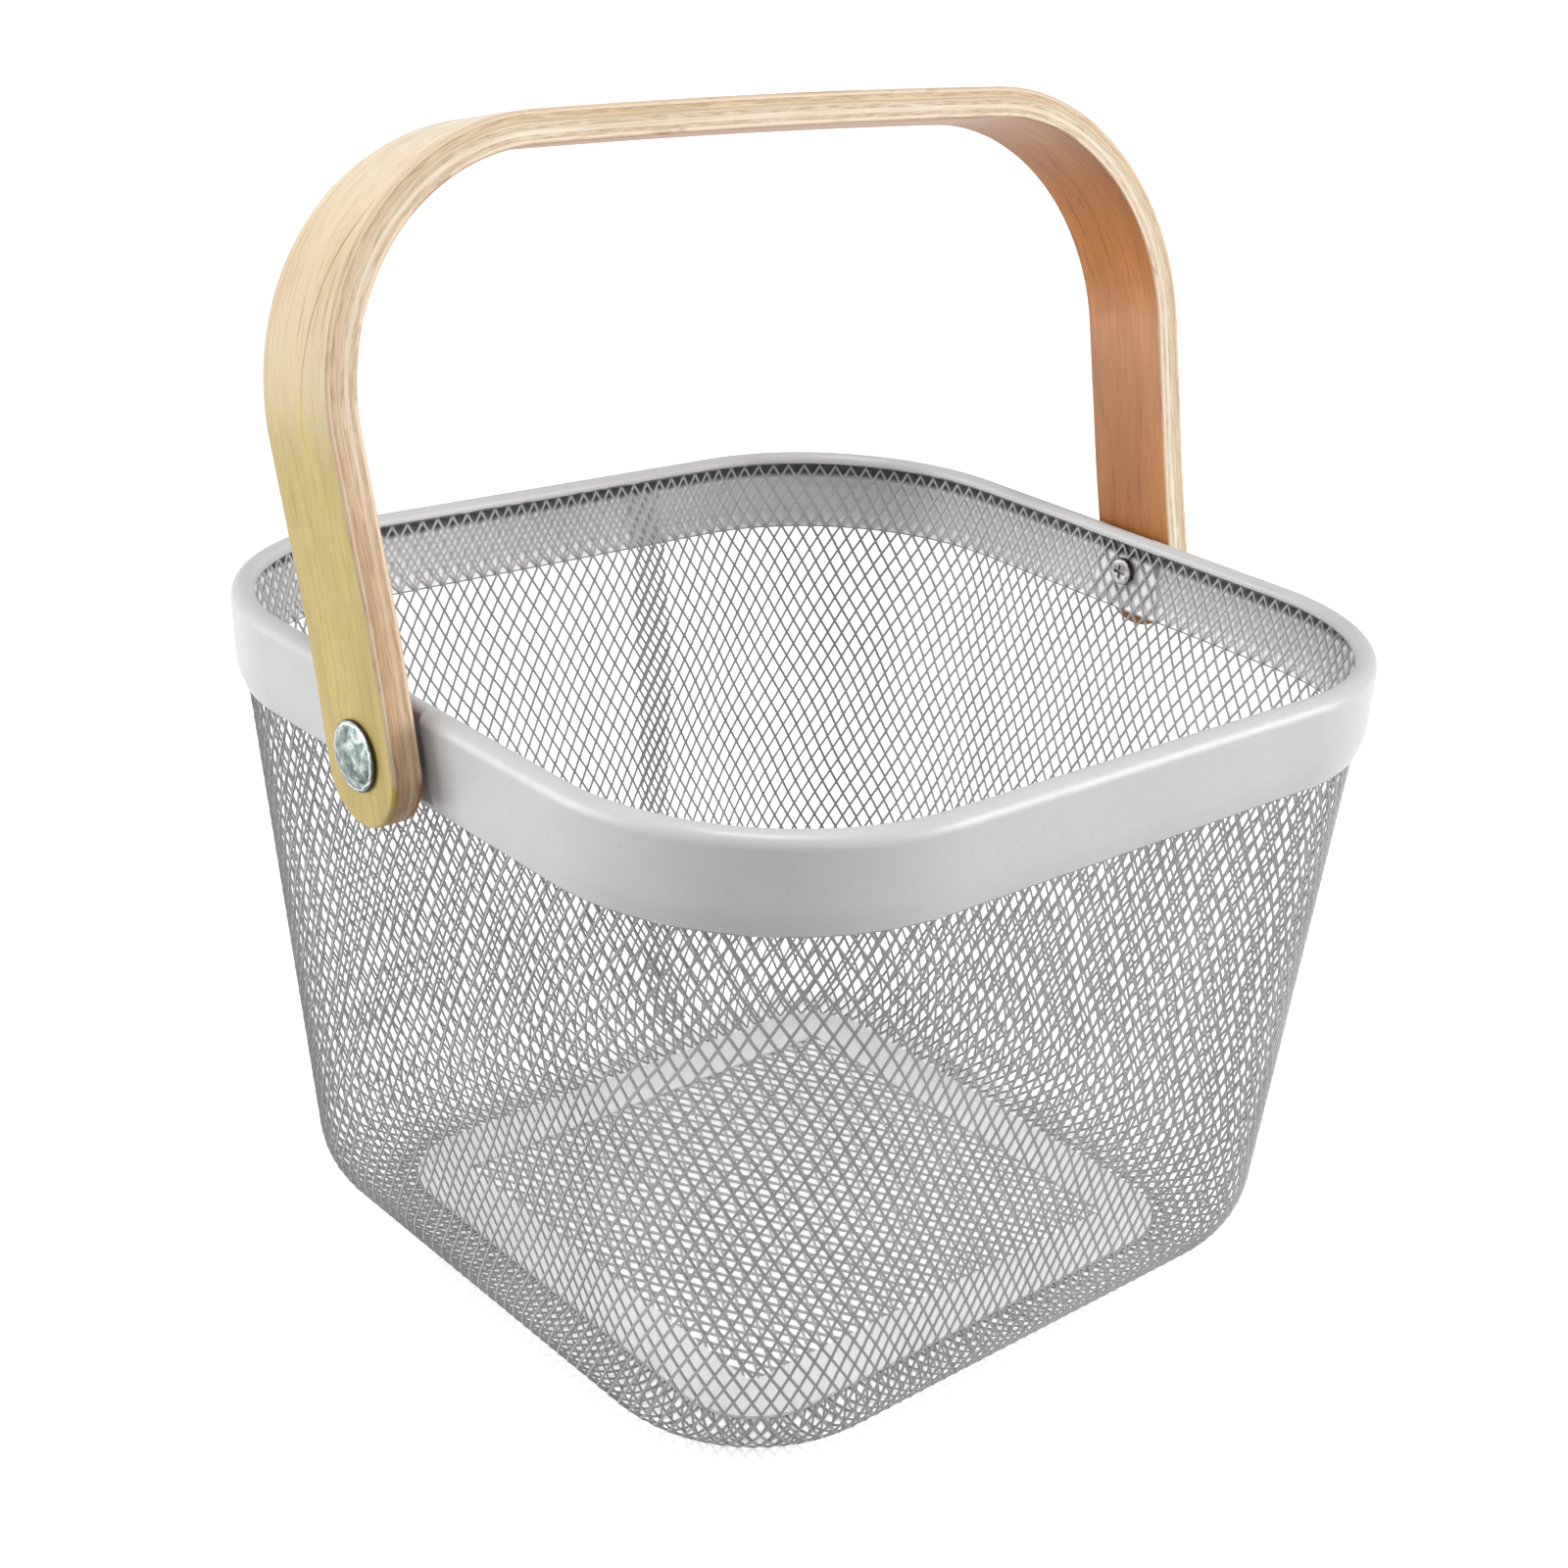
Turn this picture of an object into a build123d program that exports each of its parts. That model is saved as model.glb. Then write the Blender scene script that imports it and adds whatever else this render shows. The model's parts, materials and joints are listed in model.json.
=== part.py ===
from build123d import *
import math
import os

# Wire produce basket: a square tapered basket of expanded metal mesh with a pressed sheet steel rim
# band, a flat steel ring in its base, and a bent plywood handle that swings on two pivot screws.
# Millimetres. +Z is up, X runs along the handle's pivot axis, and the origin is on the surface that
# the basket stands on, under its centre.

# Basket outline. Every corner of the basket is centred on the same four upright lines.
RIM_HALF = 125.0
RIM_TOP = 183.0
CORNER_CENTRE = 60.5

# Mesh wall, measured on its outer surface. The mesh is a skin as thick as its twisted strands.
MESH_THICKNESS = 0.8
WALL_FOOT_HALF = 107.0
WALL_SLOPE = 0.0945
WALL_BEND_HEIGHT = 164.0
WALL_BEND_RADIUS = 20.0
WALL_TOP_HEIGHT = 179.5
FOOT_RADIUS = 25.0
FLANGE_INNER_HALF = 76.0
PANEL_GAP = 0.1

# Base
BASE_RING_OUTER_HALF = 82.5
BASE_RING_INNER_HALF = 66.0
BASE_RING_THICKNESS = 1.2

# Rim band, measured on its outer surface
BAND_SHEET = 0.7
BAND_LOW = 158.2
BAND_LOW_HALF = 122.72
BAND_SHOULDER_HEIGHT = 163.0
BAND_SHOULDER_HALF = 124.4
BAND_CURL_RADIUS = 18.0
ROLL_OUTER_RADIUS = 3.4
ROLL_INNER_RADIUS = 2.2
LIP_INNER_HALF = 118.9
LIP_LOW = 179.9

# Flat seats pressed into the band behind the handle's legs, wider at the band's lower edge
SEAT_FACE = 123.4
SEAT_HALF_WIDTH_LOW = 13.8
SEAT_HALF_WIDTH_HIGH = 9.4
SEAT_SHOULDER_HEIGHT = 160.0
SEAT_CURL_RADIUS = 3.0
SEAT_ROLL_RADIUS = 2.0

# Handle
PIVOT_HEIGHT = 170.8
HANDLE_TILT = 13.0
HANDLE_WIDTH = 28.5
HANDLE_THICKNESS = 8.0
PLY_COUNT = 7
LEG_OUTER = 134.8
LEG_BELOW_PIVOT = 17.4
LEG_STRAIGHT_ABOVE_PIVOT = 14.0
LEG_LEAN = 2.5
LEG_BOW_RADIUS = 500.0
ARCH_HEIGHT = 140.0
ARCH_CORNER_RADIUS = 64.5
CROWN_ANGLE = 1.3

# Pivot screws
SIDE_GAP = 0.2
SLEEVE_RADIUS = 3.5
SLEEVE_BORE_RADIUS = 2.05
SLEEVE_BORE_DEPTH = 9.5
HANDLE_BORE_RADIUS = 3.56
NUT_HEAD_RADIUS = 8.6
NUT_HEAD_RIM = 0.8
NUT_HEAD_HEIGHT = 2.3
WASHER_RADIUS = 7.0
WASHER_BORE_RADIUS = 3.6
SCREW_RADIUS = 2.0
SCREW_LENGTH = 10.0
SCREW_HOLE_RADIUS = 2.3
SCREW_HEAD_RADIUS = 4.0
SCREW_HEAD_HEIGHT = 2.4
SCREW_HEAD_EDGE_RADIUS = 1.0
CROSS_SLOT_LENGTH = 4.4
CROSS_SLOT_WIDTH = 0.9
CROSS_SLOT_DEPTH = 1.3

# Side of the boxes and length of the bars that cut or keep a region, larger than the basket
CUTTER = 500.0

wall_top_half = WALL_FOOT_HALF + WALL_SLOPE * WALL_BEND_HEIGHT
mesh_inner_face = wall_top_half - MESH_THICKNESS
leg_inner = LEG_OUTER - HANDLE_THICKNESS
ply_thickness = HANDLE_THICKNESS / PLY_COUNT


def upright_path(points, radii):
    """A path in the XZ plane through (x, z) points, with its inner corners rounded."""
    return FilletPolyline(*[(x, 0, z) for x, z in points], radius=radii)


def section_face(points, radii, thickness):
    """A strip of sheet: the outer path thickened towards the inside of the basket."""
    strip = offset(upright_path(points, radii), amount=thickness, side=Side.RIGHT)
    return make_face(strip.edges())


def around_basket(section):
    """Carries a section round the basket: four straight sides joined by four quarter turns."""
    side = extrude(section.moved(Location((0, CORNER_CENTRE, 0))), 2 * CORNER_CENTRE, dir=(0, -1, 0))
    turned = revolve(section.moved(Location((-CORNER_CENTRE, 0, 0))), Axis.Z, 90)
    corner = turned.moved(Location((CORNER_CENTRE, CORNER_CENTRE, 0)))
    pieces = []
    for quarter in range(4):
        pieces.append(side.rotate(Axis.Z, 90 * quarter))
        pieces.append(corner.rotate(Axis.Z, 90 * quarter))
    return pieces[0].fuse(*pieces[1:]).clean()


def along_x(radius, x_from, x_to):
    """A round bar along the pivot axis on the +X side."""
    return Solid.make_cylinder(radius, x_to - x_from, Plane((x_from, 0, PIVOT_HEIGHT), z_dir=(1, 0, 0)))


def other_side(shape):
    return shape.rotate(Axis.Z, 180)


def screw_hole():
    """Clears the pivot screw through the mesh and the band on both sides."""
    hole = along_x(SCREW_HOLE_RADIUS, LIP_INNER_HALF, LEG_OUTER)
    return hole + other_side(hole)


def wall_mesh():
    """The wall strip, with its foot turned in under the base ring."""
    points = [
        (FLANGE_INNER_HALF, 0),
        (WALL_FOOT_HALF, 0),
        (wall_top_half, WALL_BEND_HEIGHT),
        (wall_top_half, WALL_TOP_HEIGHT),
    ]
    skin = around_basket(section_face(points, [FOOT_RADIUS, WALL_BEND_RADIUS], MESH_THICKNESS))
    return skin - screw_hole()


def bottom_mesh():
    """The flat panel that closes the square inside the wall's turned-in foot."""
    half = FLANGE_INNER_HALF - PANEL_GAP
    panel = RectangleRounded(2 * half, 2 * half, half - CORNER_CENTRE)
    return extrude(panel, MESH_THICKNESS)


def base_ring():
    """Flat ring on top of the mesh, round outside and sharp-cornered inside."""
    corner_radius = BASE_RING_OUTER_HALF - CORNER_CENTRE
    outer = RectangleRounded(2 * BASE_RING_OUTER_HALF, 2 * BASE_RING_OUTER_HALF, corner_radius)
    ring = outer - Rectangle(2 * BASE_RING_INNER_HALF, 2 * BASE_RING_INNER_HALF)
    return extrude(ring, BASE_RING_THICKNESS).moved(Location((0, 0, MESH_THICKNESS)))


def band_points(outer_half, shoulder_half, shoulder_height):
    """Outer path of the band's section, from its lower edge over the roll to the lip."""
    return [
        (BAND_LOW_HALF, BAND_LOW),
        (shoulder_half, shoulder_height),
        (outer_half, RIM_TOP),
        (LIP_INNER_HALF, RIM_TOP),
        (LIP_INNER_HALF, LIP_LOW),
    ]


def straight_piece(section, y_from, y_to):
    return extrude(section.moved(Location((0, y_to, 0))), y_to - y_from, dir=(0, -1, 0))


def seat_outline(margin):
    """The seat's flared outline with a margin at its sides, as a block through the +X side."""
    low = SEAT_HALF_WIDTH_LOW + margin
    high = SEAT_HALF_WIDTH_HIGH + margin
    corners = [(-low, BAND_LOW), (low, BAND_LOW), (high, RIM_TOP), (-high, RIM_TOP)]
    sides = Polyline(*[(CORNER_CENTRE, y, z) for y, z in corners], close=True)
    return extrude(make_face(sides.edges()), CUTTER, dir=(1, 0, 0))


def rim_band():
    """Rolled band all round, with a flat seat pressed in on each side behind the handle's leg."""
    points = band_points(RIM_HALF, BAND_SHOULDER_HALF, BAND_SHOULDER_HEIGHT)
    radii = [BAND_CURL_RADIUS, ROLL_OUTER_RADIUS, ROLL_INNER_RADIUS]
    band = around_basket(section_face(points, radii, BAND_SHEET))

    seat_points = band_points(SEAT_FACE, SEAT_FACE, SEAT_SHOULDER_HEIGHT)
    seat_radii = [SEAT_CURL_RADIUS, SEAT_ROLL_RADIUS, ROLL_INNER_RADIUS]
    seat_section = section_face(seat_points, seat_radii, BAND_SHEET)
    inside_outline = seat_outline(0)
    seat = straight_piece(seat_section, -CORNER_CENTRE, CORNER_CENTRE) & inside_outline

    outline = upright_path(points, radii)
    filled = make_face(outline.edges() + [Line(outline @ 1, outline @ 0)])
    outside_seat = Pos(SEAT_FACE - BAND_SHEET + CUTTER / 2, 0, 0) * Box(CUTTER, CUTTER, CUTTER)
    step_walls = straight_piece(filled, -CORNER_CENTRE, CORNER_CENTRE) & outside_seat
    step_walls = (step_walls & seat_outline(BAND_SHEET)) - inside_outline

    for place in (lambda shape: shape, other_side):
        band = band - place(inside_outline) + place(seat) + place(step_walls)
    return (band - screw_hole()).clean()


def arch_layout():
    """Centres and radii of the handle's outer outline, upright, with the pivot at the origin."""
    lean = math.radians(LEG_LEAN)
    crown = math.radians(CROWN_ANGLE)
    bow_centre = (LEG_OUTER + LEG_BOW_RADIUS, LEG_STRAIGHT_ABOVE_PIVOT)
    bow_end_x = bow_centre[0] - LEG_BOW_RADIUS * math.cos(lean)
    bow_end_z = bow_centre[1] + LEG_BOW_RADIUS * math.sin(lean)
    base_x = bow_end_x - ARCH_CORNER_RADIUS * math.cos(lean)
    base_z = bow_end_z + ARCH_CORNER_RADIUS * math.sin(lean)
    crown_rise = math.tan(crown / 2)
    above_base = ARCH_HEIGHT - base_z - ARCH_CORNER_RADIUS * math.cos(crown)
    above_base -= (base_x + ARCH_CORNER_RADIUS * math.sin(crown)) * crown_rise
    run = above_base / (math.cos(lean) + math.sin(lean) * crown_rise)
    corner_centre = (base_x + run * math.sin(lean), base_z + run * math.cos(lean))
    return lean, crown, bow_centre, corner_centre


def arch_edges(depth):
    """The handle's outline at a depth under its outer face, from the right end to the left end."""
    lean, crown, bow, corner = arch_layout()
    bow_radius = LEG_BOW_RADIUS + depth
    corner_radius = ARCH_CORNER_RADIUS - depth

    def on_bow(angle):
        return (bow[0] - bow_radius * math.cos(angle), 0, bow[1] + bow_radius * math.sin(angle))

    def on_corner(angle):
        return (corner[0] + corner_radius * math.cos(angle), 0, corner[1] + corner_radius * math.sin(angle))

    foot = (LEG_OUTER - depth, 0, -LEG_BELOW_PIVOT)
    corner_end = math.pi / 2 - crown
    right = [
        Line(foot, on_bow(0)),
        ThreePointArc(on_bow(0), on_bow(lean / 2), on_bow(lean)),
        Line(on_bow(lean), on_corner(-lean)),
        ThreePointArc(on_corner(-lean), on_corner((corner_end - lean) / 2), on_corner(corner_end)),
    ]
    left = [edge.mirror(Plane.YZ) for edge in right]
    end = on_corner(corner_end)
    crown_arc = ThreePointArc(end, (0, 0, ARCH_HEIGHT - depth), (-end[0], 0, end[2]))
    return right + [crown_arc] + left


def bar_right_through(radius, height):
    """A round bar through both legs, parallel to the pivot axis, in the upright handle's frame."""
    return Solid.make_cylinder(radius, CUTTER, Plane((-CUTTER / 2, 0, height), z_dir=(1, 0, 0)))


def handle_end_shape():
    """Seen from the side: the strip's width, closed below each pivot by a half round."""
    centre = HANDLE_WIDTH / 2 - LEG_BELOW_PIVOT
    long_part = Pos(0, 0, centre + CUTTER / 2) * Box(CUTTER, HANDLE_WIDTH, CUTTER)
    return long_part + bar_right_through(HANDLE_WIDTH / 2, centre)


def handle_ply(number, envelope):
    """One veneer of the bent plywood, counted from the outer face."""
    outer_depth = (number - 1) * ply_thickness
    inner_depth = number * ply_thickness
    outer_foot = (LEG_OUTER - outer_depth, 0, -LEG_BELOW_PIVOT)
    inner_foot = (LEG_OUTER - inner_depth, 0, -LEG_BELOW_PIVOT)
    right_end = Line(outer_foot, inner_foot)
    edges = arch_edges(outer_depth) + arch_edges(inner_depth) + [right_end, right_end.mirror(Plane.YZ)]
    strip = extrude(make_face(edges), HANDLE_WIDTH / 2, dir=(0, 1, 0), both=True)
    ply = (strip & envelope) - bar_right_through(HANDLE_BORE_RADIUS, 0)
    return ply.rotate(Axis.X, -HANDLE_TILT).moved(Location((0, 0, PIVOT_HEIGHT)))


def barrel_nut():
    """Domed head outside the leg and a threaded sleeve through it that stands on the seat."""
    under_head = LEG_OUTER + SIDE_GAP
    head_rim = under_head + NUT_HEAD_RIM
    head_top = under_head + NUT_HEAD_HEIGHT
    bore_end = SEAT_FACE + SLEEVE_BORE_DEPTH

    def at(x, radius):
        return (x, 0, PIVOT_HEIGHT + radius)

    sides = Polyline(
        at(head_top, 0),
        at(bore_end, 0),
        at(bore_end, SLEEVE_BORE_RADIUS),
        at(SEAT_FACE, SLEEVE_BORE_RADIUS),
        at(SEAT_FACE, SLEEVE_RADIUS),
        at(under_head, SLEEVE_RADIUS),
        at(under_head, NUT_HEAD_RADIUS),
        at(head_rim, NUT_HEAD_RADIUS),
    )
    rise = head_top - head_rim
    dome_radius = (NUT_HEAD_RADIUS**2 + rise**2) / (2 * rise)
    half_way = math.sqrt(dome_radius**2 - NUT_HEAD_RADIUS**2 / 4)
    dome_middle = at(head_top - dome_radius + half_way, NUT_HEAD_RADIUS / 2)
    dome = ThreePointArc(at(head_rim, NUT_HEAD_RADIUS), dome_middle, at(head_top, 0))
    return revolve(make_face(sides.edges() + [dome]), Axis((0, 0, PIVOT_HEIGHT), (1, 0, 0)))


def spacer_washer():
    """Round the sleeve, between the band's seat and the leg."""
    outer_face = leg_inner - SIDE_GAP
    disc = along_x(WASHER_RADIUS, SEAT_FACE, outer_face)
    return disc - along_x(WASHER_BORE_RADIUS, SEAT_FACE, outer_face)


def pivot_screw():
    """Pan head screw with a cross recess, driven from inside the basket."""
    head_face = mesh_inner_face - SCREW_HEAD_HEIGHT
    head = along_x(SCREW_HEAD_RADIUS, head_face, mesh_inner_face)
    crown_edge = head.edges().filter_by(GeomType.CIRCLE).sort_by(Axis.X)[0]
    head = head.fillet(SCREW_HEAD_EDGE_RADIUS, [crown_edge])
    shank = along_x(SCREW_RADIUS, mesh_inner_face, mesh_inner_face + SCREW_LENGTH)
    slot = Pos(head_face + CROSS_SLOT_DEPTH / 2, 0, PIVOT_HEIGHT)
    upright = slot * Box(CROSS_SLOT_DEPTH, CROSS_SLOT_WIDTH, CROSS_SLOT_LENGTH)
    level = slot * Box(CROSS_SLOT_DEPTH, CROSS_SLOT_LENGTH, CROSS_SLOT_WIDTH)
    return head + shank - upright - level


os.makedirs("parts", exist_ok=True)
export_step(wall_mesh(), "parts/wall_mesh.step")
export_step(bottom_mesh(), "parts/bottom_mesh.step")
export_step(base_ring(), "parts/base_ring.step")
export_step(rim_band(), "parts/rim_band.step")

envelope = handle_end_shape()
for number in range(1, PLY_COUNT + 1):
    export_step(handle_ply(number, envelope), f"parts/handle_ply_{number}.step")

for side, place in (("right", lambda shape: shape), ("left", other_side)):
    export_step(place(barrel_nut()), f"parts/barrel_nut_{side}.step")
    export_step(place(spacer_washer()), f"parts/spacer_washer_{side}.step")
    export_step(place(pivot_screw()), f"parts/pivot_screw_{side}.step")
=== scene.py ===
import json
import math
import bpy
import numpy as np
from mathutils import Matrix, Vector


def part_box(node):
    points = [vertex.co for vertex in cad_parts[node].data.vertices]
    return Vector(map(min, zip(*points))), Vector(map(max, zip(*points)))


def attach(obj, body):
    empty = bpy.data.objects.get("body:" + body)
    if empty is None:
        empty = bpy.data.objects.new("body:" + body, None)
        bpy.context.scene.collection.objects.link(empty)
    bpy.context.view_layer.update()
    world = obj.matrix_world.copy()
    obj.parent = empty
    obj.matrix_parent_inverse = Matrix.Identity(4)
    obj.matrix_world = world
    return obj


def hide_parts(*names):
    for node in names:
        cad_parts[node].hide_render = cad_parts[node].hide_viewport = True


# Looks of a wire produce basket: real mesh strands, a rolled rim band, a base ring, glued veneers
# and worn fasteners. Metres. +Z is up and X runs along the handle's pivot axis.

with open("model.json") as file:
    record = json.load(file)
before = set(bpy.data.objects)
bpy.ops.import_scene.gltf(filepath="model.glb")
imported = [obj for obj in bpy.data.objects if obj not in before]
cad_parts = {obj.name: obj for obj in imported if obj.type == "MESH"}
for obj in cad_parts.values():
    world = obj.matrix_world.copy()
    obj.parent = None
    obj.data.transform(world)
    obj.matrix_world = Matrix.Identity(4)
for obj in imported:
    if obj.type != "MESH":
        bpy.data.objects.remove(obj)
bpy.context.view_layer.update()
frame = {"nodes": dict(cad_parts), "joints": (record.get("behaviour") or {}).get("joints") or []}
MM = 0.001

# Basket sections, the same as the model's
CORNER_CENTRE = 60.5 * MM
MESH_THICKNESS = 0.8 * MM
FLANGE_INNER_HALF = 76.0 * MM
WALL_FOOT_HALF = 107.0 * MM
WALL_TOP_HALF = 122.498 * MM
WALL_BEND_HEIGHT = 164.0 * MM
FOOT_RADIUS = 25.0 * MM
WALL_BEND_RADIUS = 20.0 * MM

# Rim band. The radii are those of its crease, its roll's outer side and its roll's inner side
RIM_HALF = 125.0 * MM
BAND_SHEET = 0.7 * MM
BAND_LOW = 158.2 * MM
BAND_LOW_HALF = 122.72 * MM
CREASE_HALF = 124.4 * MM
CREASE_HEIGHT = 163.0 * MM
LIP_HALF = 118.9 * MM
LIP_LOW = 179.9 * MM
BAND_RADII = (18.0 * MM, 3.4 * MM, 2.2 * MM)
SEAT_CREASE_HEIGHT = 160.0 * MM
SEAT_RADII = (3.0 * MM, 2.0 * MM, 2.2 * MM)
SEAT_HALF_WIDTH_LOW = 13.8 * MM
SEAT_HALF_WIDTH_HIGH = 9.4 * MM
STEP_WIDTH = 0.7 * MM
SECTION_POINTS = 96
HEM_STEPS = 4

# Expanded metal: diamonds round the basket, half a diamond up it, and the strands' own section
DIAMONDS_ROUND = 186
ROW_RISE = 3.925 * MM
STRAND_WIDTH = 0.51 * MM
STRAND_DEPTH = 0.42 * MM
STRAND_TWIST = math.radians(-24.0)
STRAND_SLOPE = math.atan2(2.2, 3.8)
BOND_WIDENING = 1.35
BOND_LENGTHENING = 1.25
FIRST_ROW = 1.0 * MM
TOP_MARGIN = 1.6 * MM
RIPPLES = ((0.30, 3, 1.7, 0.0), (0.22, 7, -2.3, 1.3), (0.16, 13, 3.1, 0.4))
RIPPLE_LENGTH = 0.2
RIPPLE_SIZE = 0.6

# The wall strip's overlapped ends
SEAM_PLACE = 36.5 * MM
SEAM_INWARD = 0.13 * MM
SEAM_COLUMNS = 3
SEAM_ROWS_LEFT_OUT = 6
SEAM_FIRST_ROW = 5.35

# Bottom panel
BOTTOM_PITCH = 4.3 * MM
BOTTOM_SIDE_MARGIN = 1.6 * MM
BOTTOM_END_MARGIN = 2.4 * MM

# Handle
HANDLE_TILT = math.radians(13.0)
HANDLE_WIDTH = 28.5 * MM
HANDLE_THICKNESS = 8.0 * MM
PLY_COUNT = 7
LEG_GAP = 0.2 * MM
LEG_BELOW_PIVOT = 17.4 * MM
LEG_STRAIGHT = 14.0 * MM
LEG_LEAN = math.radians(2.5)
LEG_BOW_RADIUS = 500.0 * MM
ARCH_HEIGHT = 140.0 * MM
ARCH_CORNER_RADIUS = 64.5 * MM
CROWN_ANGLE = math.radians(1.3)
BORE_RADIUS = 3.56 * MM
ARRIS = 0.7 * MM
ARRIS_PLACES = (0, 0.08, 0.29, 0.62, 1.0, 1.4)
END_STEPS = 24
BOW_STEPS = 8
CORNER_STEPS = 48
CROWN_STEPS = 12

# A drying crack in each face veneer's left bend, measured along the strip from its left end
CHECK_LOW = 88.0 * MM
CHECK_HIGH = 148.0 * MM
CHECK_LOW_PLACE = 1.0 * MM
CHECK_SLOPE = 0.19
CHECK_WANDER = 5.0 * MM

# Places that come from the frame
pivot = Vector(frame["joints"][0]["pos_m"])
rim_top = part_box("rim_band")[1].z
mesh_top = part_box("wall_mesh")[1].z
seat_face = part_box("spacer_washer_right")[0].x
leg_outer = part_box("spacer_washer_right")[1].x + LEG_GAP + HANDLE_THICKNESS


# ---- mesh helpers ----------------------------------------------------------------------------

def new_object(name, points, faces, smooth=False):
    """A mesh object from an array of points and a list of faces."""
    mesh = bpy.data.meshes.new(name)
    mesh.from_pydata([tuple(p) for p in points], [], [tuple(f) for f in faces])
    mesh.validate()
    mesh.update()
    if smooth:
        mesh.shade_smooth()
    obj = bpy.data.objects.new(name, mesh)
    bpy.context.scene.collection.objects.link(obj)
    return obj


def add_float_vector(obj, name, values):
    """Stores one vector per point for a material to read."""
    attribute = obj.data.attributes.new(name, "FLOAT_VECTOR", "POINT")
    attribute.data.foreach_set("vector", np.asarray(values, np.float32).ravel())


def grid_faces(rows, columns, close_rows=False, close_columns=True, offset=0):
    """Quads of a grid of points numbered row by row."""
    faces = []
    for i in range(rows if close_rows else rows - 1):
        for j in range(columns if close_columns else columns - 1):
            a = offset + i * columns + j
            b = offset + i * columns + (j + 1) % columns
            c = offset + ((i + 1) % rows) * columns + (j + 1) % columns
            d = offset + ((i + 1) % rows) * columns + j
            faces.append((a, b, c, d))
    return faces


def rounded_path(points, radii, arc_step):
    """Points along a path through (x, z) corners, with each inner corner rounded by an arc."""
    path = [np.array(points[0], float)]
    for i, radius in enumerate(radii):
        before, corner, after = (np.array(points[k], float) for k in (i, i + 1, i + 2))
        arrive = (corner - before) / np.linalg.norm(corner - before)
        leave = (after - corner) / np.linalg.norm(after - corner)
        turn = math.acos(np.clip(arrive @ leave, -1, 1))
        reach = radius * math.tan(turn / 2)
        left = arrive[0] * leave[1] - arrive[1] * leave[0] > 0
        side = np.array([-arrive[1], arrive[0]]) * (1 if left else -1)
        centre = corner - arrive * reach + side * radius
        count = max(2, math.ceil(radius * turn / arc_step))
        for k in range(count + 1):
            angle = turn * k / count * (1 if left else -1)
            spoke = -side * radius
            turned = (spoke[0] * math.cos(angle) - spoke[1] * math.sin(angle),
                      spoke[0] * math.sin(angle) + spoke[1] * math.cos(angle))
            path.append(centre + np.array(turned))
    path.append(np.array(points[-1], float))
    return np.array(path)


def along_path(path, distances):
    """Points and left-hand normals at distances along a path of (x, z) points."""
    steps = np.linalg.norm(np.diff(path, axis=0), axis=1)
    total = np.concatenate([[0], np.cumsum(steps)])
    x = np.interp(distances, total, path[:, 0])
    z = np.interp(distances, total, path[:, 1])
    ahead = np.clip(distances + 0.2 * MM, 0, total[-1])
    behind = np.clip(distances - 0.2 * MM, 0, total[-1])
    dx = np.interp(ahead, total, path[:, 0]) - np.interp(behind, total, path[:, 0])
    dz = np.interp(ahead, total, path[:, 1]) - np.interp(behind, total, path[:, 1])
    size = np.hypot(dx, dz)
    return x, z, -dz / size, dx / size


def path_length(path):
    return float(np.linalg.norm(np.diff(path, axis=0), axis=1).sum())


def on_outline(half, turn):
    """Points and outward normals on the basket's rounded square outline.

    half is the outline's half width and turn goes from 0 to 1 round it, from the middle of +X.
    """
    radius = half - CORNER_CENTRE
    arc = math.pi / 4 * radius
    quarter = 2 * CORNER_CENTRE + 2 * arc
    place = np.mod(turn * 4 + 0.5, 4)
    side = np.floor(place)
    run = (place - side) * quarter
    angle = np.where(run < arc, run / radius - math.pi / 4, 0.0)
    angle = np.where(run > arc + 2 * CORNER_CENTRE, (run - arc - 2 * CORNER_CENTRE) / radius, angle)
    straight = np.clip(run - arc, 0, 2 * CORNER_CENTRE) - CORNER_CENTRE
    x = CORNER_CENTRE + radius * np.cos(angle)
    y = straight + radius * np.sin(angle)
    spin = side * math.pi / 2
    cosine, sine = np.cos(spin), np.sin(spin)
    normal_x, normal_y = np.cos(angle), np.sin(angle)
    return (x * cosine - y * sine, x * sine + y * cosine,
            normal_x * cosine - normal_y * sine, normal_x * sine + normal_y * cosine)


def perimeter(half):
    """Length round the outline with this half width."""
    return 8 * CORNER_CENTRE + 2 * math.pi * (half - CORNER_CENTRE)


# ---- expanded metal --------------------------------------------------------------------------

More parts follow.
